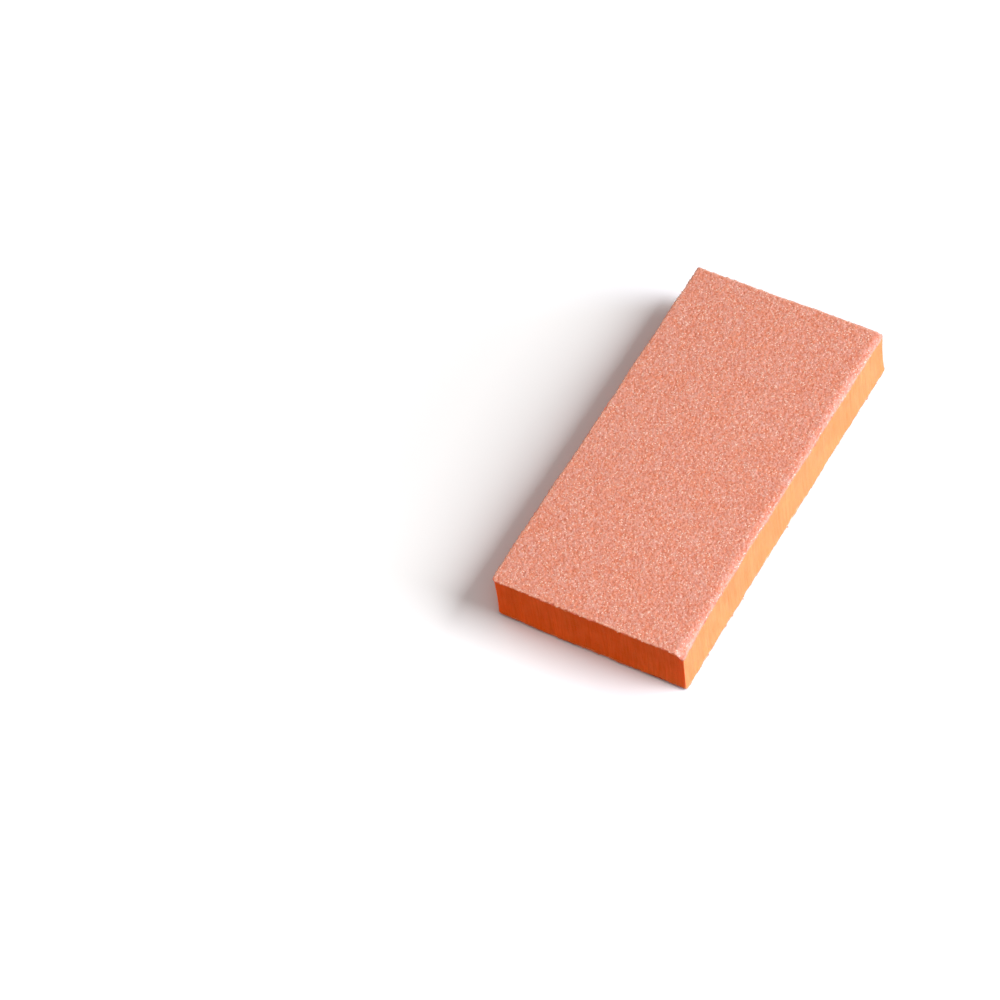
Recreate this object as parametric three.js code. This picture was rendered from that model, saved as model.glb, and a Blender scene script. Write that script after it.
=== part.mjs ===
// Nail buffer block: a soft foam block with a sheet of abrasive paper glued to each broad face.
// The whole stack is laid up as one large board and cut into blocks with a blade, so every layer
// has the same outline. Nothing in it moves: the foam only gives under the fingers.
//
// Millimetres, +Z up. The origin is the middle of the face that the block rests on, +X runs
// along the block's length and +Y across it.

import * as THREE from "three";

// Driving dimensions.
const LENGTH = 70;
const WIDTH = 34.2;
const HEIGHT = 9.8;
const CORNER_RADIUS = 0.45; // the upright corners, as the blade leaves them
const CORNER_STEPS = 5;

// The layers of one abrasive sheet, from the foam outwards.
const ADHESIVE_THICKNESS = 0.08;
const PAPER_THICKNESS = 0.2;
const RESIN_THICKNESS = 0.07;
const GRIT_THICKNESS = 0.15; // up to the plane through the grains' tips
const SHEET_THICKNESS = ADHESIVE_THICKNESS + PAPER_THICKNESS + RESIN_THICKNESS + GRIT_THICKNESS;

// The foam springs back a little after the cut, so its walls stand inside the sheets and are waisted.
const FOAM_HEIGHT = HEIGHT - 2 * SHEET_THICKNESS;
const FOAM_SETBACK = 0.1;
const FOAM_WAIST = 0.22;
const FOAM_STEPS = 12;
const ADHESIVE_SETBACK = 0.1; // the glue stops short of the cut edges

/** A rectangle with rounded corners, `setback` inside the block's outline, centred on the origin. */
function blockOutline(setback) {
  const x = LENGTH / 2 - setback;
  const y = WIDTH / 2 - setback;
  const r = CORNER_RADIUS;
  const outline = new THREE.Shape();
  outline.moveTo(-x + r, -y);
  outline.lineTo(x - r, -y);
  outline.absarc(x - r, -y + r, r, -Math.PI / 2, 0, false);
  outline.lineTo(x, y - r);
  outline.absarc(x - r, y - r, r, 0, Math.PI / 2, false);
  outline.lineTo(-x + r, y);
  outline.absarc(-x + r, y - r, r, Math.PI / 2, Math.PI, false);
  outline.lineTo(-x, -y + r);
  outline.absarc(-x + r, -y + r, r, Math.PI, 1.5 * Math.PI, false);
  return outline;
}

/** The block's outline, made `thickness` high. */
function slab(setback, thickness, steps = 1) {
  return new THREE.ExtrudeGeometry(blockOutline(setback), {
    depth: thickness,
    steps,
    curveSegments: CORNER_STEPS,
    bevelEnabled: false,
  });
}

/** A named mesh whose lowest face is at height z. */
function layer(name, geometry, z, finish) {
  const mesh = new THREE.Mesh(geometry, new THREE.MeshStandardMaterial({ metalness: 0, ...finish }));
  mesh.name = name;
  mesh.position.z = z;
  return mesh;
}

/** The foam block. Its walls bow in by FOAM_WAIST at mid-height, and not at all at the sheets. */
function foamCore() {
  const geometry = slab(FOAM_SETBACK, FOAM_HEIGHT, FOAM_STEPS);
  const place = geometry.attributes.position;
  const halfLength = LENGTH / 2 - FOAM_SETBACK;
  const halfWidth = WIDTH / 2 - FOAM_SETBACK;
  for (let i = 0; i < place.count; i += 1) {
    const up = place.getZ(i) / FOAM_HEIGHT;
    const bow = FOAM_WAIST * 4 * up * (1 - up);
    place.setX(i, place.getX(i) * (1 - bow / halfLength));
    place.setY(i, place.getY(i) * (1 - bow / halfWidth));
  }
  geometry.computeVertexNormals();
  return layer("foam_core", geometry, SHEET_THICKNESS, { color: 0xf0813c, roughness: 0.85 });
}

/** The abrasive sheet on one face: side is 1 above the foam and -1 below it. */
function abrasiveSheet(prefix, side) {
  const layers = [
    ["adhesive_film", ADHESIVE_SETBACK, ADHESIVE_THICKNESS, { color: 0xf3d9b4, roughness: 0.35 }],
    ["backing_paper", 0, PAPER_THICKNESS, { color: 0xf2b59a, roughness: 0.9 }],
    ["resin_bond", 0, RESIN_THICKNESS, { color: 0xd9694f, roughness: 0.5 }],
    ["abrasive_grit", 0, GRIT_THICKNESS, { color: 0xea8f78, roughness: 0.8 }],
  ];
  const sheet = new THREE.Group();
  let reach = FOAM_HEIGHT / 2; // from the middle of the block out to the next layer
  for (const [name, setback, thickness, finish] of layers) {
    const lowest = side > 0 ? HEIGHT / 2 + reach : HEIGHT / 2 - reach - thickness;
    sheet.add(layer(`${prefix}_${name}`, slab(setback, thickness), lowest, finish));
    reach += thickness;
  }
  return sheet;
}

const bufferBlock = new THREE.Group();
bufferBlock.add(abrasiveSheet("lower", -1));
bufferBlock.add(foamCore());
bufferBlock.add(abrasiveSheet("upper", 1));

export default bufferBlock;
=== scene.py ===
import math

import bpy
import numpy as np
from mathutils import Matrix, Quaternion, Vector


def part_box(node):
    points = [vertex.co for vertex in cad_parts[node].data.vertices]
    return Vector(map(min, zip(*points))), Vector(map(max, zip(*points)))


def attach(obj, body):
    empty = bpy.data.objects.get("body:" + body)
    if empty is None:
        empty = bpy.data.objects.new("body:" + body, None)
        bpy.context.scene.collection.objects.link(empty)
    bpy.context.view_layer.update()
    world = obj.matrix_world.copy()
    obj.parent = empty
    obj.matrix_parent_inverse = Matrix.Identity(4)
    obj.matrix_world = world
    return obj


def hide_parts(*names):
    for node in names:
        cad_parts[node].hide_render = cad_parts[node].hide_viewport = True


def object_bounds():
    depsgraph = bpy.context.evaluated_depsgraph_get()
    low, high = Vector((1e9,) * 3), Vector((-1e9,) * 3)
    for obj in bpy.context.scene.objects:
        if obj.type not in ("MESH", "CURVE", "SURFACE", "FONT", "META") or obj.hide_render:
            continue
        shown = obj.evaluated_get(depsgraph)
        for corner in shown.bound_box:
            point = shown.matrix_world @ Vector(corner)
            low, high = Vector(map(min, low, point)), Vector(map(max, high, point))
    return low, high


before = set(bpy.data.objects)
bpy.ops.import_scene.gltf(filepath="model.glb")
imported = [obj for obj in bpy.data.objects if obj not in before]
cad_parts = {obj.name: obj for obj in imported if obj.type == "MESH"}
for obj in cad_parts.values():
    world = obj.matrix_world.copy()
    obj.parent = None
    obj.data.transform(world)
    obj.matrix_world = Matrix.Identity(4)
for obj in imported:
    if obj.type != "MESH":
        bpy.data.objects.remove(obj)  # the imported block: nine layers, glued into one body
cad_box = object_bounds()


# ---- Foam core ---------------------------------------------------------------------------------
# The body of the buffer: a bar of soft closed-cell EVA foam, dyed orange all the way through.
# It is cut out of a thick board with the sheets already glued on. The blade leaves its walls a
# little hollow and marked with fine upright lines, and drags the upper edges down as it enters.

MM = 0.001
block_low, block_high = (np.array(corner) for corner in cad_box)
half_length, half_width = block_high[:2]
corner_near = np.array([-half_length, -half_width])  # the corner that the blade crushed

CORNER_RADII = {(-1, -1): 0.42 * MM, (1, -1): 0.45 * MM, (1, 1): 0.2 * MM, (-1, 1): 1.0 * MM}
CORNER_SQUEEZE = 2.2  # 2 would make a quarter circle; a little more leaves the corner fuller
SLOW = (61 * MM, 29 * MM, 13 * MM)
QUICK = (8.3 * MM, 4.9 * MM, 3.1 * MM, 2.2 * MM)
SIDE_WANDER = {  # in mm: the slow waves, the quick waves at the foot, and the seed of the first
    "right": (0.05, 0.03, 11),
    "left": (0.03, 0.02, 13),
    "back": (0.06, 0.03, 15),
    "front": (0.04, 0.025, 17),
}
FRONT_LEAN = 0.03  # in mm, how far the top of the front stands out over its foot
BACK_LEAN = 0.07  # in mm, how far the top of the back stands in
CRUSH_BULGE = 0.12  # in mm, at the foot of the crushed corner
CRUSH_OVERHANG = 0.22  # in mm, how much more at its top
CRUSH_REACH = 3.5 * MM


def waves(along, lengths, seed):
    """A wandering line: the sum of one sine for each wavelength in lengths, with phases drawn from
    seed, scaled to a spread of about 1."""
    phases = np.random.default_rng(seed).uniform(0, 2 * np.pi, len(lengths))
    total = sum(np.sin(2 * np.pi * along / w + p) for w, p in zip(lengths, phases))
    return total * math.sqrt(2 / len(lengths))


def grains(shape, widths, seed):
    """White noise drawn from seed, blurred along each axis by a Gaussian of that many samples
    through the Fourier transform, so that it wraps round, and scaled to a spread of 1."""
    spectrum = np.fft.fftn(np.random.default_rng(seed).standard_normal(shape))
    for axis, width in enumerate(widths):
        turns = np.fft.fftfreq(shape[axis])
        keep = np.exp(-2 * (np.pi * turns * width) ** 2)
        spectrum *= keep.reshape([-1 if a == axis else 1 for a in range(len(shape))])
    field = np.fft.ifftn(spectrum).real
    return field / field.std()


def round_the_block(step):
    """The way round a square of half side 1, anticlockwise from its (-1, -1) corner, in steps that
    are about `step` long on the block: the u and v of each point."""
    along = np.linspace(-1, 1, round(2 * half_length / step), endpoint=False)
    across = np.linspace(-1, 1, round(2 * half_width / step), endpoint=False)
    u = np.concatenate([along, np.ones_like(across), -along, -np.ones_like(across)])
    v = np.concatenate([-np.ones_like(along), across, np.ones_like(along), -across])
    return u, v


def wander(side, along, up):
    """How far a side strays outwards, in mm: slow waves along it, and quick ones that fade from
    its foot (up = 0) to its top (up = 1)."""
    slow, quick, seed = SIDE_WANDER[side]
    return slow * waves(along, SLOW, seed) + quick * (1 - up) * waves(along, QUICK, seed + 1)


def as_cut(x, y, up):
    """Moves points of the ideal rectangle to where the blade passed. Each side wanders, the long
    ones lean to the front, and the front bulges out by the crushed corner, as exp(-(gap / reach)^2)
    with the distance from the near end. Within a corner's radius, a and b go from 0 to 1 towards
    its two sides, and its square is squeezed round: a -> a sqrt(1 - b^2 / CORNER_SQUEEZE), and so
    for b."""
    right = wander("right", y, up)
    left = wander("left", y, up)
    back = wander("back", x, up) - BACK_LEAN * up
    crush = np.exp(-(((x + half_length) / CRUSH_REACH) ** 2))
    front = wander("front", x, up) + (FRONT_LEAN * up + (CRUSH_BULGE + CRUSH_OVERHANG * up) * crush)
    share_x = (1 + x / half_length) / 2
    share_y = (1 + y / half_width) / 2
    inside_x, inside_y = x.copy(), y.copy()
    for (side_x, side_y), radius in CORNER_RADII.items():
        a = (x * side_x - (half_length - radius)) / radius
        b = (y * side_y - (half_width - radius)) / radius
        here = (a > 0) & (b > 0)
        round_a = a * np.sqrt(1 - np.clip(b, 0, 1) ** 2 / CORNER_SQUEEZE)
        round_b = b * np.sqrt(1 - np.clip(a, 0, 1) ** 2 / CORNER_SQUEEZE)
        inside_x = np.where(here, side_x * (half_length - radius + radius * round_a), inside_x)
        inside_y = np.where(here, side_y * (half_width - radius + radius * round_b), inside_y)
    return (
        inside_x + MM * (share_x * right - (1 - share_x) * left),
        inside_y + MM * (share_y * back - (1 - share_y) * front),
    )


ROLLS = {  # how deep the blade dragged each upper edge down, and from how far in, both in mm
    "front": (0.25, 1.4),
    "back": (0.07, 0.5),
    "left": (0.10, 0.6),
    "right": (0.07, 0.5),
}
ROLL_WAVER = 0.25
CRUSH_DEPTH = 0.55  # in mm
CRUSH_ROLL = 1.45  # in mm, how far from the crushed corner its dent begins


def pressed(x, y):
    """How far the blade dragged the upper face down at a point: for each side, its depth times
    (1 - gap / reach)^2, where gap is the distance to that side, times a slow waver along it. The
    crushed corner adds its own depth times (1 - distance / reach)."""

    def roll(side, gap):
        depth, reach = ROLLS[side]
        return MM * depth * np.clip(1 - gap / (MM * reach), 0, None) ** 2

    waver_x = 1 + ROLL_WAVER * waves(x, SLOW, 21)
    waver_y = 1 + ROLL_WAVER * waves(y, SLOW, 22)
    corner_gap = np.hypot(x - corner_near[0], y - corner_near[1])
    return (
        roll("front", half_width + y) * waver_x
        + roll("back", half_width - y) * waver_x
        + roll("left", half_length + x) * waver_y
        + roll("right", half_length - x) * waver_y
        + MM * CRUSH_DEPTH * np.clip(1 - corner_gap / (MM * CRUSH_ROLL), 0, None)
    )


CURL_LIFT = 0.24  # in mm
CURL_REACH = 1.3 * MM
CURL_WAVER = 0.3


def lifted(x, y):
    """How far the underside curls up off the floor at a point: the lift times (1 - gap / reach)^2,
    where gap is the distance to the near short end, times a slow waver along that end."""
    curl = CURL_LIFT * np.clip(1 - (half_length + x) / CURL_REACH, 0, None) ** 2
    return MM * curl * (1 + CURL_WAVER * waves(y, SLOW, 23))


def closed_solid(name, loops):
    """A closed solid whose skin runs through loops, an array of (loop, point, xyz): from near the
    middle of its top out to the edge, down, and back to near the middle of its underside.
    Neighbouring loops are joined by four-sided faces, and the first and last are filled flat."""
    count, around = loops.shape[:2]
    at = np.arange(count * around).reshape(count, around)
    after = np.roll(at, -1, axis=1)
    sides = np.stack([at[:-1], at[1:], after[1:], after[:-1]], axis=-1).reshape(-1, 4)
    return filled_mesh(name, loops.reshape(-1, 3), sides, [at[0], at[-1][::-1]])


def filled_mesh(name, points, four_sided, many_sided):
    """A mesh object from an array of points, an array of four-sided faces, and a list of faces
    with many corners."""
    sizes = [4] * len(four_sided) + [len(face) for face in many_sided]
    corners = np.concatenate([four_sided.ravel(), *many_sided])
    mesh = bpy.data.meshes.new(name)
    mesh.vertices.add(len(points))
    mesh.vertices.foreach_set("co", points.astype(np.float32).ravel())
    mesh.loops.add(len(corners))
    mesh.loops.foreach_set("vertex_index", corners.astype(np.int32))
    mesh.polygons.add(len(sizes))
    mesh.polygons.foreach_set("loop_start", (np.cumsum(sizes) - sizes).astype(np.int32))
    mesh.update(calc_edges=True)
    mesh.validate()
    piece = bpy.data.objects.new(name, mesh)
    bpy.context.scene.collection.objects.link(piece)
    return piece


FOAM_STEP = 0.2 * MM
FOAM_ROWS = 34
FOAM_SETBACK = 0.1 * MM
FOAM_WAIST = 0.11 * MM
FOOT_FLARE = 0.12 * MM
TOP_INSETS = MM * np.array([3.4, 2.5, 2.0, 1.6, 1.3, 1.0, 0.75, 0.5, 0.3, 0.12])
FOOT_INSETS = MM * np.array([0.2, 0.6, 1.5, 3.4])
WALL_MARKS = (  # how many samples long each kind is down and round the wall, its seed, its depth in mm
    ((9, 0.8), 31, 0.013),  # fine lines of the blade
    ((14, 2.5), 32, 0.016),  # broad lines of the blade
    ((7, 7), 33, 0.022),  # ripples
    ((0.6, 0.6), 34, 0.008),  # cut cells
)
HEM_DEPTH = 0.035  # in mm, how unevenly the foot of the wall runs
LIP_DEPTH = 0.03  # in mm, and its top


def foam_bar():
    """The foam: at each point round the block, a profile that runs out over the top, down the wall
    and in under the bottom. At the height t, which is 1 at the top, the wall stands in from the
    outline by FOAM_SETBACK, plus a waist of 4 t (1 - t) that is deeper towards the top, less a
    flare of (1 - t)^8 at the foot, plus the wall marks, an uneven hem and an uneven lip."""
    u, v = round_the_block(FOAM_STEP)
    low_z, top_z = (corner[2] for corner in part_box("foam_core"))

    def ring(inset, up):
        return as_cut(u * (half_length - inset), v * (half_width - inset), up)

    loops = []
    for inset in TOP_INSETS:
        x, y = ring(FOAM_SETBACK + inset, 1)
        loops.append(np.stack([x, y, top_z - pressed(x, y)], axis=-1))
    around = len(u)
    marks = sum(grains((FOAM_ROWS, around), blur, seed) * depth for blur, seed, depth in WALL_MARKS)
    hem = grains((1, around), (0, 6), 35)[0] * HEM_DEPTH
    lip = grains((1, around), (0, 2.2), 36)[0] * LIP_DEPTH
    for row, t in enumerate(np.linspace(1, 0, FOAM_ROWS)):
        dents = marks[row] + hem * (1 - t) ** 5 + lip * t**8
        waist = FOAM_WAIST * 4 * t * (1 - t) * (0.6 + 0.8 * t) - FOOT_FLARE * (1 - t) ** 8
        x, y = ring(FOAM_SETBACK + waist + MM * dents, t)
        wall_top = top_z - pressed(x, y)
        wall_foot = low_z + lifted(x, y)
        loops.append(np.stack([x, y, wall_foot + t * (wall_top - wall_foot)], axis=-1))
    for inset in FOOT_INSETS:
        x, y = ring(FOAM_SETBACK + inset, 0)
        loops.append(np.stack([x, y, low_z + lifted(x, y)], axis=-1))
    return closed_solid("foam_bar", np.array(loops))


foam = foam_bar()
foam.data.shade_smooth()
foam.data.set_sharp_from_angle(angle=math.radians(50))


def add(tree, kind, inputs=None, **settings):
    """Adds a node with these settings. Each input is either linked to a socket or given a value."""
    made = tree.nodes.new(kind)
    for name, value in settings.items():
        setattr(made, name, value)
    for name, value in (inputs or {}).items():
        if isinstance(value, bpy.types.NodeSocket):
            tree.links.new(value, made.inputs[name])
        else:
            made.inputs[name].default_value = value
    return made


def blend_colours(tree, share, first, second, how="MIX"):
    """A colour that goes from first to second with share."""
    mix = add(tree, "ShaderNodeMix", data_type="RGBA", blend_type=how)
    for socket, value in ((mix.inputs[0], share), (mix.inputs[6], first), (mix.inputs[7], second)):
        if isinstance(value, bpy.types.NodeSocket):
            tree.links.new(value, socket)
        else:
            socket.default_value = value
    return mix.outputs[2]


def remap(tree, value, from_low, from_high, to_low=0.0, to_high=1.0):
    """value moved from one range to another, and held inside it."""
    numbers = {"From Min": from_low, "From Max": from_high, "To Min": to_low, "To Max": to_high}
    return add(tree, "ShaderNodeMapRange", {"Value": value, **numbers}).outputs[0]


def start_material(name):
    """An empty material with its Principled shader, and a piece's own coordinates in millimetres."""
    material = bpy.data.materials.new(name)
    material.use_nodes = True
    tree = material.node_tree
    shader = next(n for n in tree.nodes if n.type == "BSDF_PRINCIPLED")
    place = add(tree, "ShaderNodeTexCoord").outputs["Object"]
    in_mm = add(tree, "ShaderNodeVectorMath", {0: place, "Scale": 1 / MM}, operation="SCALE")
    return material, tree, shader, in_mm.outputs[0]


def make_specks_group():
    """Scattered specks: each Voronoi cell, Per mm to the millimetre, draws one random number, and
    the cells whose number is under Share show as a speck that fades out towards the cell's edge.
    Mask is the speck, and Tone another random number that is the same all over each cell."""
    group = bpy.data.node_groups.new("scattered_specks", "ShaderNodeTree")
    inputs = {"Vector": "NodeSocketVector", "Per mm": "NodeSocketFloat", "Share": "NodeSocketFloat"}
    for name, kind in inputs.items():
        group.interface.new_socket(name, in_out="INPUT", socket_type=kind)
    for name in ("Mask", "Tone"):
        group.interface.new_socket(name, in_out="OUTPUT", socket_type="NodeSocketFloat")
    into = add(group, "NodeGroupInput")
    out = add(group, "NodeGroupOutput")
    pattern = {"Vector": into.outputs["Vector"], "Scale": into.outputs["Per mm"]}
    cells = add(group, "ShaderNodeTexVoronoi", pattern)
    drawn = add(group, "ShaderNodeSeparateColor", {0: cells.outputs["Color"]})
    compared = {0: drawn.outputs[0], 1: into.outputs["Share"]}
    chosen = add(group, "ShaderNodeMath", compared, operation="LESS_THAN")
    round_off = remap(group, cells.outputs["Distance"], 0.25, 0.6, 1.0, 0.0)
    mask = add(group, "ShaderNodeMath", {0: chosen.outputs[0], 1: round_off}, operation="MULTIPLY")
    group.links.new(mask.outputs[0], out.inputs["Mask"])
    group.links.new(drawn.outputs[1], out.inputs["Tone"])
    return group


specks_group = make_specks_group()


def specks(tree, place, per_mm, share):
    """The scattered specks group, placed in a material with its own values."""
    placed = add(tree, "ShaderNodeGroup", node_tree=specks_group)
    tree.links.new(place, placed.inputs["Vector"])
    placed.inputs["Per mm"].default_value = per_mm
    placed.inputs["Share"].default_value = share
    return placed


FOAM_ORANGE = (0.93, 0.245, 0.078, 1)
# The deep orange is the foam's own slower drift of tone. It is also painted shade where it darkens the
# blade's upright lines and the holes of the cut cells.
FOAM_DEEP_AND_SHADE = (0.68, 0.150, 0.036, 1)
FOAM_PALE = (0.95, 0.36, 0.14, 1)
FOAM_CELLS_PER_MM = 6.0
FOAM_BUMP = 0.014 * MM


def foam_material():
    """Dyed foam: a slow drift of tone, upright lines where the blade passed, the deep holes of the cut
    cells, some of them paler, a dull surface, and a little light passing through it. The lines and the holes
    are darkened in colour as painted shade."""
    material, tree, shader, place = start_material("orange_foam")
    drift = add(tree, "ShaderNodeTexNoise", {"Vector": place, "Scale": 0.25, "Detail": 3.0})
    upright = add(tree, "ShaderNodeMapping", {"Vector": place, "Scale": (1.0, 1.0, 0.06)})
    streaks_and_shade = add(tree, "ShaderNodeTexNoise", {"Vector": upright.outputs[0], "Scale": 3.2, "Detail": 3.0})
    pits_and_shade = specks(tree, place, FOAM_CELLS_PER_MM, 0.35)
    paler = specks(tree, place, FOAM_CELLS_PER_MM, 0.25)
    colour = blend_colours(tree, remap(tree, drift.outputs[0], 0.3, 0.7, 0, 0.5), FOAM_ORANGE, FOAM_DEEP_AND_SHADE)
    # Painted shade: the blade's upright lines are darkened, as if their grooves were in shade.
    colour = blend_colours(tree, remap(tree, streaks_and_shade.outputs[0], 0.40, 0.62, 0.0, 0.4), colour, FOAM_DEEP_AND_SHADE)
    colour = blend_colours(tree, remap(tree, paler.outputs["Mask"], 0, 1, 0, 0.5), colour, FOAM_PALE)
    # Painted shade: the holes of the cut cells are darkened, as if in shade.
    colour = blend_colours(tree, remap(tree, pits_and_shade.outputs["Mask"], 0, 1, 0, 0.5), colour, FOAM_DEEP_AND_SHADE)
    tree.links.new(colour, shader.inputs["Base Color"])
    tree.links.new(remap(tree, streaks_and_shade.outputs[0], 0.3, 0.7, 0.7, 0.9), shader.inputs["Roughness"])
    streaks_less_pits = {0: pits_and_shade.outputs["Mask"], 1: -0.6, 2: streaks_and_shade.outputs[0]}
    depth = add(tree, "ShaderNodeMath", streaks_less_pits, operation="MULTIPLY_ADD")
    bump = add(tree, "ShaderNodeBump", {"Height": depth.outputs[0], "Distance": FOAM_BUMP, "Strength": 1.0})
    tree.links.new(bump.outputs[0], shader.inputs["Normal"])
    shader.inputs["Specular IOR Level"].default_value = 0.3
    shader.inputs["Subsurface Weight"].default_value = 0.4
    shader.inputs["Subsurface Radius"].default_value = (1.0, 0.28, 0.1)
    shader.inputs["Subsurface Scale"].default_value = 1.6 * MM
    shader.inputs["Sheen Weight"].default_value = 0.15
    shader.inputs["Sheen Roughness"].default_value = 0.5
    shader.inputs["Sheen Tint"].default_value = (1.0, 0.72, 0.5, 1)
    return material


foam.data.materials.append(foam_material())
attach(foam, "root")
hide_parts("foam_core")


# ---- Glue films --------------------------------------------------------------------------------
# A thin film of clear amber contact glue between each sheet and the foam. It is rolled on before
# the board is cut, and the blade squeezes it out at the edges by a hair here and there.

SHEET_INSETS = np.append(TOP_INSETS, 0.03 * MM)
FRINGE_REACH = 0.5 * MM
GLUE_SETBACK = 0.06 * MM
GLUE_THIN = (0.80, 0.42, 0.2, 1)
GLUE_THICK = (0.86, 0.56, 0.33, 1)


def thin_layer(name, node, ragged, seed, setback=0.0, gap=0.004 * MM):
    """One layer of a sheet, as a closed solid that follows the cut outline. Its edge stands out by
    ragged millimetres of noise less the setback, which fade inwards as exp(-inset / FRINGE_REACH).
    The layers of the upper sheet dip with the pressed face and those of the lower one rise with
    the lifted end. gap keeps its faces off its neighbours."""
    u, v = round_the_block(FOAM_STEP)
    low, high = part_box(node)
    upper = low[2] > (block_low[2] + block_high[2]) / 2
    fringe = grains((1, len(u)), (0, 0.9), seed)[0] + grains((1, len(u)), (0, 3.5), seed + 1)[0]
    outward = MM * ragged * fringe / math.sqrt(2) - setback

    def ring(inset, height):
        reach = outward * np.exp(-inset / FRINGE_REACH) - inset
        x, y = as_cut(u * (half_length + reach), v * (half_width + reach), 1.0 if upper else 0.0)
        return np.stack([x, y, height + (-pressed(x, y) if upper else lifted(x, y))], axis=-1)

    over = [ring(inset, high[2] - gap) for inset in SHEET_INSETS]
    edge = [ring(0, low[2] + share * (high[2] - low[2])) for share in (0.85, 0.5, 0.15)]
    under = [ring(inset, low[2] + gap) for inset in SHEET_INSETS[::-1]]
    piece = closed_solid(name, np.array(over + edge + under))
    piece.data.shade_smooth()
    piece.data.set_sharp_from_angle(angle=math.radians(40))
    return piece


def glue_material():
    """Dried contact glue: amber, satin, thicker and paler in some spots than in others."""
    material, tree, shader, place = start_material("contact_glue")
    pools = add(tree, "ShaderNodeTexNoise", {"Vector": place, "Scale": 1.3, "Detail": 3.0})
    colour = blend_colours(tree, remap(tree, pools.outputs[0], 0.35, 0.65), GLUE_THIN, GLUE_THICK)
    tree.links.new(colour, shader.inputs["Base Color"])
    tree.links.new(remap(tree, pools.outputs[0], 0.3, 0.7, 0.25, 0.5), shader.inputs["Roughness"])
    return material


glue = glue_material()
for side, seed in (("upper", 41), ("lower", 43)):
    film = thin_layer(f"{side}_glue", f"{side}_adhesive_film", 0.03, seed, setback=GLUE_SETBACK)
    film.data.materials.append(glue)
    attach(film, "root")
    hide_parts(f"{side}_adhesive_film")


# ---- Backing papers ----------------------------------------------------------------------------
# Each abrasive sheet is built on a stout latex-soaked paper. Its colour is a deep orange rather than its
# pale peach: painted shade, so that its edge at the cut reads as a recessed line under the grit, a little
# furry where fibres were pulled.

# Both tones are darkened, as painted shade of the recessed paper edge.
PAPER_DEEP = (0.74, 0.22, 0.09, 1)
PAPER_LIGHT = (0.84, 0.31, 0.15, 1)


def paper_material():
    """Soaked paper: a deep orange, painted shade that makes its cut edge look recessed, with short fibres
    lying flat, and a matt, slightly furry edge.
    """
    material, tree, shader, place = start_material("backing_paper")
    flat = add(tree, "ShaderNodeMapping", {"Vector": place, "Scale": (1.0, 1.0, 3.0)})
    fibres = add(tree, "ShaderNodeTexNoise", {"Vector": flat.outputs[0], "Scale": 3.2, "Detail": 5.0})
    colour = blend_colours(tree, remap(tree, fibres.outputs[0], 0.35, 0.65), PAPER_DEEP, PAPER_LIGHT)
    tree.links.new(colour, shader.inputs["Base Color"])
    tree.links.new(remap(tree, fibres.outputs[0], 0.3, 0.7, 0.95, 0.8), shader.inputs["Roughness"])
    bump = add(tree, "ShaderNodeBump", {"Height": fibres.outputs[0], "Distance": 0.03 * MM, "Strength": 0.8})
    tree.links.new(bump.outputs[0], shader.inputs["Normal"])
    return material


paper = paper_material()
for side, seed in (("upper", 51), ("lower", 53)):
    sheet = thin_layer(f"{side}_paper", f"{side}_backing_paper", 0.035, seed)
    sheet.data.materials.append(paper)
    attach(sheet, "root")
    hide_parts(f"{side}_backing_paper")


# ---- Resin bonds -------------------------------------------------------------------------------
# Two coats of coral pigmented resin, one under the grains and one over them, that cure into one
# skin. It chips where the blade passed, so its edge is the most broken of all the layers.

RESIN_SETBACKS = {"upper": 0.0, "lower": 0.1 * MM}
RESIN_DEEP = (0.56, 0.12, 0.075, 1)
RESIN_LIGHT = (0.68, 0.2, 0.13, 1)
RESIN_CHIPPED = (0.84, 0.42, 0.31, 1)


def resin_material():
    """Cured pigmented resin: coral red, satin, with small chips of a lighter tone."""
    material, tree, shader, place = start_material("bond_resin")
    clouds = add(tree, "ShaderNodeTexNoise", {"Vector": place, "Scale": 1.8, "Detail": 4.0})
    chips = specks(tree, place, 5.0, 0.3)
    colour = blend_colours(tree, remap(tree, clouds.outputs[0], 0.35, 0.65), RESIN_DEEP, RESIN_LIGHT)
    colour = blend_colours(tree, remap(tree, chips.outputs["Mask"], 0, 1, 0, 0.6), colour, RESIN_CHIPPED)
    tree.links.new(colour, shader.inputs["Base Color"])
    tree.links.new(remap(tree, chips.outputs["Tone"], 0, 1, 0.35, 0.65), shader.inputs["Roughness"])
    return material


resin = resin_material()
for side, seed in (("upper", 61), ("lower", 63)):
    coat = thin_layer(f"{side}_resin", f"{side}_resin_bond", 0.06, seed, setback=RESIN_SETBACKS[side])
    coat.data.materials.append(resin)
    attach(coat, "root")
    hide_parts(f"{side}_resin_bond")


# ---- Abrasive grit -----------------------------------------------------------------------------
# Crushed mineral grains packed side by side over the whole of each face, and locked in by the
# resin. Each has its own height, turn and tone. Along the cut some are broken away, which leaves
# the outline ragged, and the blade drags the outermost ones down over the edge of the paper.

GRAIN_SPACING = 0.25 * MM
GRAIN_SLOPE = 0.55
GRAIN_TOPS = (0.070 * MM, 0.145 * MM)
FACET = 0.167 * MM
EDGE_DROP = 0.03 * MM
GRIT_WEAR = {"upper": 0.055 * MM, "lower": 0.085 * MM}
GRAIN_WEAR = 0.055 * MM
LEAST_HEIGHT = 0.12
RIM_HEIGHT = 0.6
LOWER_RIM = 0.1
STRAY_CHIP = 0.32 * MM
CHIPS_FROM = 1.4
GRIT_RECESS = 0.20 * MM
GRIT_LIP = 0.02 * MM
GRIT_FOOT = 0.15 * MM


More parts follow.
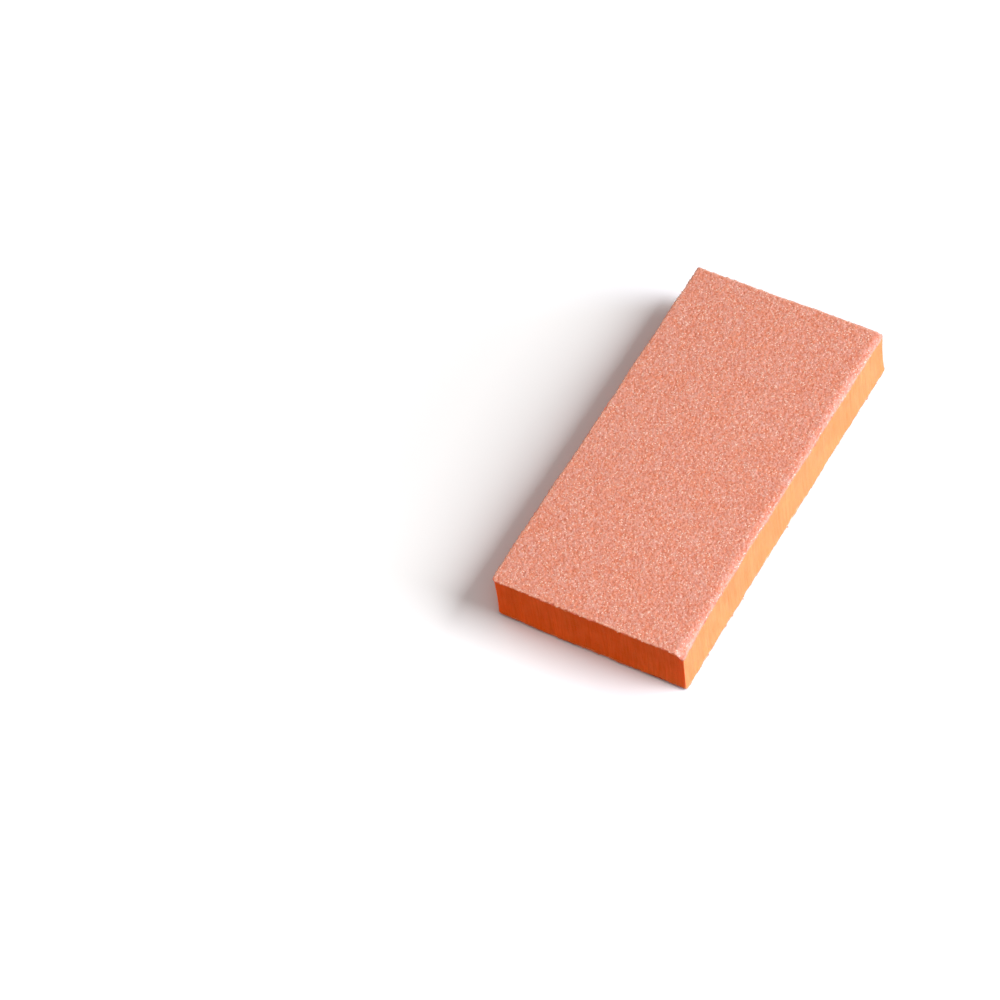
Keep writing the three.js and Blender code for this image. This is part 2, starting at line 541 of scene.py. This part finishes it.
def crushed_grains(x, y, seed):
    """A bed of crushed grains over arrays x and y, with one grain to each square of GRAIN_SPACING,
    off its middle at random. A grain is a six-sided cone, its top less GRAIN_SLOPE times r, where
    r is the largest distance along three axes at 60 degrees, and it is turned and stretched at
    random. Where cones meet the higher one shows. Returns the height and that grain's number."""
    draw = np.random.default_rng(seed)
    columns = int(2.2 * half_length / GRAIN_SPACING)
    rows = int(2.2 * half_width / GRAIN_SPACING)
    off_x, off_y, top, turn, stretch, tone = draw.uniform(0, 1, (6, columns, rows))
    column = np.floor(x / GRAIN_SPACING).astype(int) + columns // 2
    row = np.floor(y / GRAIN_SPACING).astype(int) + rows // 2
    height = np.full(x.shape, -1.0)
    shown = np.zeros(x.shape)
    for shift_x, shift_y in np.ndindex(3, 3):
        at = (np.clip(column + shift_x - 1, 0, columns - 1), np.clip(row + shift_y - 1, 0, rows - 1))
        away_x = x - (at[0] - columns // 2 + off_x[at]) * GRAIN_SPACING
        away_y = y - (at[1] - rows // 2 + off_y[at]) * GRAIN_SPACING
        reach = np.zeros(x.shape)
        for axis in range(3):
            angle = (turn[at] + axis) * np.pi / 3
            along = away_x * np.cos(angle) + away_y * np.sin(angle)
            reach = np.maximum(reach, np.abs(along) * (0.75 + 0.5 * stretch[at] if axis == 0 else 1.0))
        cone = GRAIN_TOPS[0] + top[at] * (GRAIN_TOPS[1] - GRAIN_TOPS[0]) - GRAIN_SLOPE * reach
        higher = cone > height
        height = np.where(higher, cone, height)
        shown = np.where(higher, tone[at], shown)
    return height, shown


# How pale the outer rings of the grit are painted, partly for wear and partly as a painted highlight along
# the rim.
RUBBED_AND_LIT = (0.9, 0.5, 0.1)
RUBBED_AND_LIT_NEAR = (1.0, 0.45, 0.1)
RUBBED_AND_LIT_FRONT = 0.15
CRUSHED_CORNER = 6  # grid points along the near end that keep their grains


def rubbed_and_lit_rings(shape):
    """How pale the grid's outer rings are painted, partly for the wear of the blade and partly as a painted
    highlight along the rim: the first shares over its outermost rings at the back and the far end, the front
    share of these at the front, and the near shares at the near end, past the crushed corner."""
    rubbed_and_lit = np.zeros(shape)
    for ring, share in enumerate(RUBBED_AND_LIT):
        rubbed_and_lit[-1 - ring, :] = rubbed_and_lit[:, -1 - ring] = share
        rubbed_and_lit[:, ring] = RUBBED_AND_LIT_FRONT * share
    rubbed_and_lit[: len(RUBBED_AND_LIT_NEAR), CRUSHED_CORNER:] = np.array(RUBBED_AND_LIT_NEAR)[:, None]
    return rubbed_and_lit


def grit_coat(name, node, seed):
    """One face of grains: a grid over u and v, shifted sideways at random so that its facets look
    broken, with the height of the crushed grains. Its outline wears ragged by a Gaussian noise and
    dips by EDGE_DROP, a lip turns in under it, and one many-sided face closes the underside. That
    face isn't flat, because its rim follows the pressed or lifted edges, and between the low parts
    of the rim it cuts into the resin and the paper. The lower face stands in by GRIT_RECESS, and
    stray chips stick out where a noise, of spread 1, is over CHIPS_FROM."""
    low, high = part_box(node)
    upper = low[2] > (block_low[2] + block_high[2]) / 2
    wear = GRIT_WEAR["upper" if upper else "lower"]
    along = np.linspace(-1, 1, round(2 * half_length / FACET) + 1)
    across = np.linspace(-1, 1, round(2 * half_width / FACET) + 1)
    u, v = np.meshgrid(along, across, indexing="ij")
    draw = np.random.default_rng(seed)
    jitter = draw.uniform(-0.3, 0.3, (2, *u.shape)) * FACET
    worn = grains(u.shape, (1.0, 1.0), seed + 2) * wear + draw.normal(0, GRAIN_WEAR, u.shape)
    if not upper:
        chips = np.clip(grains(u.shape, (1.0, 1.0), seed + 4) - CHIPS_FROM, 0, 1)
        worn += STRAY_CHIP * chips - GRIT_RECESS
    end_x = np.abs(u) == 1
    end_y = np.abs(v) == 1
    x = u * half_length + np.where(end_x, np.sign(u) * worn, jitter[0])
    y = v * half_width + np.where(end_y, np.sign(v) * worn, jitter[1])
    bed, tone = crushed_grains(x, y, seed + 3)
    x, y = as_cut(x, y, 1.0 if upper else 0.0)
    full = high[2] - low[2]
    height = np.clip(bed + draw.normal(0, 0.006 * MM, u.shape), LEAST_HEIGHT * full, full)
    rim_height = (-EDGE_DROP if upper else LOWER_RIM * full) + RIM_HEIGHT * height
    height = np.where(end_x | end_y, rim_height, height)
    side = 1 if upper else -1
    face_z = low[2] if upper else high[2]
    shift = -pressed(x, y) if upper else lifted(x, y)
    points = np.stack([x, y, face_z + side * height + shift], axis=-1).reshape(-1, 3)
    at = np.arange(u.size).reshape(u.shape)
    faces = np.stack([at[:-1, :-1], at[1:, :-1], at[1:, 1:], at[:-1, 1:]], axis=-1).reshape(-1, 4)
    rim = np.concatenate([at[:-1, 0], at[-1, :-1], at[:0:-1, -1], at[0, :0:-1]])
    around = len(rim)
    lip = points[rim] - [0, 0, side * GRIT_LIP]
    foot = points[rim] * [1 - GRIT_FOOT / half_length, 1 - GRIT_FOOT / half_width, 1]
    foot_x, foot_y = foot[:, 0], foot[:, 1]
    foot[:, 2] = face_z + (-pressed(foot_x, foot_y) if upper else lifted(foot_x, foot_y))
    below = u.size + np.arange(2 * around).reshape(2, around)
    bands = []
    for outer, inner in ((rim, below[0]), (below[0], below[1])):
        bands.append(np.stack([outer, inner, np.roll(inner, -1), np.roll(outer, -1)], axis=-1))
    skin = np.concatenate([faces, *bands])
    cap = below[1][::-1]
    if not upper:
        skin, cap = skin[:, ::-1], below[1]
    piece = filled_mesh(name, np.concatenate([points, lip, foot]), skin, [cap])
    # Painted highlight, partly wear: the outer rings are marked here to be painted pale.
    rubbed_and_lit = rubbed_and_lit_rings(u.shape) * draw.uniform(0.5, 1.0, u.shape)
    details = {"grain_tone": tone, "grain_height": height / full, "worn_and_lit_edge": rubbed_and_lit}
    for title, values in details.items():
        spread = np.concatenate([values.ravel(), values.ravel()[rim], values.ravel()[rim]])
        detail = piece.data.attributes.new(title, "FLOAT", "POINT")
        detail.data.foreach_set("value", spread.astype(np.float32))
    return piece


GRIT_CORAL = (0.725, 0.248, 0.144, 1)
GRIT_PINK = (0.690, 0.318, 0.245, 1)
# Pale tone of the grains, used at random and on the grain tips, where it is partly wear and partly painted
# highlight.
GRIT_PALE_AND_TIP_HIGHLIGHT = (0.930, 0.640, 0.490, 1)
# Deep red tone, used at random and in the gaps between grains, where it is painted shade.
GRIT_PIT_AND_GAP_SHADE = (0.520, 0.105, 0.045, 1)
# Plain peach of the grit's outer edge, partly wear and partly a painted highlight along the rim.
WORN_PEACH_AND_RIM_HIGHLIGHT = (0.950, 0.620, 0.450, 1)


def grit_material():
    """Mineral grains under coral resin: each grain drawn between coral and pink, tips paler, partly wear and
    partly painted highlight, gaps darkened deep red as painted shade, finer chips of both at random on top,
    and the edge that the blade rubs a plain peach, partly wear and partly a painted highlight along the rim."""
    material, tree, shader, place = start_material("coral_grit")

    def detail(name):
        return add(tree, "ShaderNodeAttribute", attribute_name=name).outputs["Fac"]

    tone = detail("grain_tone")
    height = detail("grain_height")
    drift = add(tree, "ShaderNodeTexNoise", {"Vector": place, "Scale": 0.45, "Detail": 4.0})
    pale = specks(tree, place, 4.6, 0.14)
    dark = specks(tree, place, 4.2, 0.14)
    mottle = add(tree, "ShaderNodeMath", {0: tone, 1: drift.outputs[0]}, operation="ADD")
    colour = blend_colours(tree, remap(tree, mottle.outputs[0], 0.5, 1.5), GRIT_CORAL, GRIT_PINK)
    # Painted highlight, partly wear: the highest tips of the grains are paled.
    colour = blend_colours(tree, remap(tree, height, 0.6, 1.0, 0, 0.28), colour, GRIT_PALE_AND_TIP_HIGHLIGHT)
    # Painted shade: the low gaps between the grains are darkened deep red.
    colour = blend_colours(tree, remap(tree, height, 0.45, 0.12, 0, 0.55), colour, GRIT_PIT_AND_GAP_SHADE)
    colour = blend_colours(tree, remap(tree, pale.outputs["Mask"], 0, 1, 0, 0.95), colour, GRIT_PALE_AND_TIP_HIGHLIGHT)
    colour = blend_colours(tree, remap(tree, dark.outputs["Mask"], 0, 1, 0, 0.8), colour, GRIT_PIT_AND_GAP_SHADE)
    # Painted highlight, partly wear: the outer edge of the grit is painted a plain peach.
    rubbed_and_lit = detail("worn_and_lit_edge")
    colour = blend_colours(tree, remap(tree, rubbed_and_lit, 0, 1, 0, 0.85), colour, WORN_PEACH_AND_RIM_HIGHLIGHT)
    tree.links.new(colour, shader.inputs["Base Color"])
    tree.links.new(remap(tree, tone, 0, 1, 0.4, 0.8), shader.inputs["Roughness"])
    chips = add(tree, "ShaderNodeTexVoronoi", {"Vector": place, "Scale": 6.5})
    relief = {"Height": chips.outputs["Distance"], "Distance": 0.04 * MM, "Strength": 0.8}
    bump = add(tree, "ShaderNodeBump", relief)
    tree.links.new(bump.outputs[0], shader.inputs["Normal"])
    return material


grit = grit_material()
for side, seed in (("upper", 71), ("lower", 81)):
    face = grit_coat(f"{side}_grit", f"{side}_abrasive_grit", seed)
    face.data.materials.append(grit)
    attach(face, "root")
    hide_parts(f"{side}_abrasive_grit")


# ---- Floor, light and camera -------------------------------------------------------------------
# The block lies on a wide white sheet. A window over its front throws the main light, so the
# shadow falls behind it and the near short end stays dark. A bluish strip evens out the long front
# wall, a small lamp overhead the near corner and a pale card the shadow, and a strongly orange card
# colours the near short end. The floor and the room look brighter to the eye than they light.

FLOOR_SIZE = 6.0
FLOOR_TO_BOUNCES = (0.18, 0.18, 0.18, 1)
WHITE_NEAR = (0.03, 0.875)  # metres from the middle of the floor, and how white it is to the eye
WHITE_FAR = (3.0, 15.0)


def floor_sheet():
    """A plain white floor. Rays that bounce see it darker than the eye does, as they would a sheet
    that is bright only round the block. To the eye it grows whiter in a straight line with the
    distance from its middle, from WHITE_NEAR to WHITE_FAR, whiter than a real sheet can be, which
    makes up for the lamps' falling off and keeps it white to the horizon."""
    mesh = bpy.data.meshes.new("floor")
    half = FLOOR_SIZE / 2
    corners = [(-half, -half, 0), (half, -half, 0), (half, half, 0), (-half, half, 0)]
    mesh.from_pydata(corners, [], [(0, 1, 2, 3)])
    floor = bpy.data.objects.new("floor", mesh)
    bpy.context.scene.collection.objects.link(floor)
    material = bpy.data.materials.new("white_floor")
    material.use_nodes = True
    tree = material.node_tree
    shader = next(n for n in tree.nodes if n.type == "BSDF_PRINCIPLED")
    shader.inputs["Roughness"].default_value = 0.9
    shader.inputs["Specular IOR Level"].default_value = 0.1
    path = add(tree, "ShaderNodeLightPath")
    place = add(tree, "ShaderNodeTexCoord").outputs["Object"]
    gap = add(tree, "ShaderNodeVectorMath", {0: place}, operation="LENGTH").outputs["Value"]
    white = remap(tree, gap, WHITE_NEAR[0], WHITE_FAR[0], WHITE_NEAR[1], WHITE_FAR[1])
    seen = add(tree, "ShaderNodeCombineColor", {0: white, 1: white, 2: white})
    tint = blend_colours(tree, path.outputs["Is Camera Ray"], FLOOR_TO_BOUNCES, seen.outputs[0])
    tree.links.new(tint, shader.inputs["Base Color"])
    mesh.materials.append(material)
    return floor


floor_sheet()


def soft_light(name, size, strength, place, aim_at, colour=(1, 1, 1)):
    """A rectangular lamp of even brightness that faces aim_at and isn't seen itself. strength is
    its power in watts."""
    lamp = bpy.data.lights.new(name, "AREA")
    lamp.shape = "RECTANGLE"
    lamp.size, lamp.size_y = size
    lamp.energy = strength
    lamp.color = colour
    holder = bpy.data.objects.new(name, lamp)
    bpy.context.scene.collection.objects.link(holder)
    holder.location = place
    facing = np.subtract(aim_at, place)
    tilt = math.atan2(math.hypot(facing[0], facing[1]), -facing[2])
    holder.rotation_euler = (tilt, 0, math.atan2(facing[1], facing[0]) - math.pi / 2)
    holder.visible_camera = False


soft_light("window", (1.9, 0.91), 61.5, (0.365, -1.58, 1.0), aim_at=(0.365, -1.58, 0))
soft_light("overhead", (0.22, 0.22), 0.205, (-0.10, -0.09, 0.25), aim_at=(-0.10, -0.09, 0))
soft_light("side_strip", (0.7, 0.24), 12.7, (0.33, -1.0, 0.12), (0.33, 0, 0.12), (0.86, 1.0, 1.45))
soft_light("fill_card", (0.8, 0.5), 1.5, (0.35, 0.8, 0.35), (0, 0, 0), (0.8, 1.0, 1.0))
soft_light("warm_card", (0.5, 0.1), 2.4, (-0.5, 0.5, 0.05), (0, 0, 0), (1.0, 0.165, 0.0))

ROOM_LIGHT = 0.15  # how strongly the white room lights things; to the eye its strength is 1

world = bpy.data.worlds.new("white_room")
bpy.context.scene.world = world
world.use_nodes = True
room = next(n for n in world.node_tree.nodes if n.type == "BACKGROUND")
seen = add(world.node_tree, "ShaderNodeLightPath").outputs["Is Camera Ray"]
world.node_tree.links.new(remap(world.node_tree, seen, 0, 1, ROOM_LIGHT, 1.0), room.inputs["Strength"])
room.inputs["Color"].default_value = (1, 1, 1, 1)

CAMERA_BEARING = -141.55  # from the target to the camera, anticlockwise from the block's length
CAMERA_HEIGHT = 53.24
CAMERA_DISTANCE = 0.6063
CAMERA_ROLL = 10.84
CAMERA_LENS = 133.6
BLACK_LEVEL = 0.012  # what the finished picture shows as black
target = np.array([-0.436 * half_length, 1.63 * half_width, 0.0])

lens = bpy.data.cameras.new("camera")
lens.lens = CAMERA_LENS
lens.sensor_width = 36
lens.clip_start = 0.01
camera = bpy.data.objects.new("camera", lens)
bearing = math.radians(CAMERA_BEARING)
rise = math.radians(CAMERA_HEIGHT)
level = math.cos(rise)
out = np.array([level * math.cos(bearing), level * math.sin(bearing), math.sin(rise)])
camera.location = target + CAMERA_DISTANCE * out
turn = Vector(-out).to_track_quat("-Z", "Y")
roll = Quaternion((0, 0, 1), math.radians(-CAMERA_ROLL))
camera.rotation_mode = "QUATERNION"
camera.rotation_quaternion = turn @ roll
bpy.context.scene.collection.objects.link(camera)
bpy.context.scene.camera = camera

look = bpy.context.scene.view_settings
look.view_transform = "Standard"
look.use_curve_mapping = True
look.curve_mapping.black_level = (BLACK_LEVEL, BLACK_LEVEL, BLACK_LEVEL)
look.curve_mapping.update()
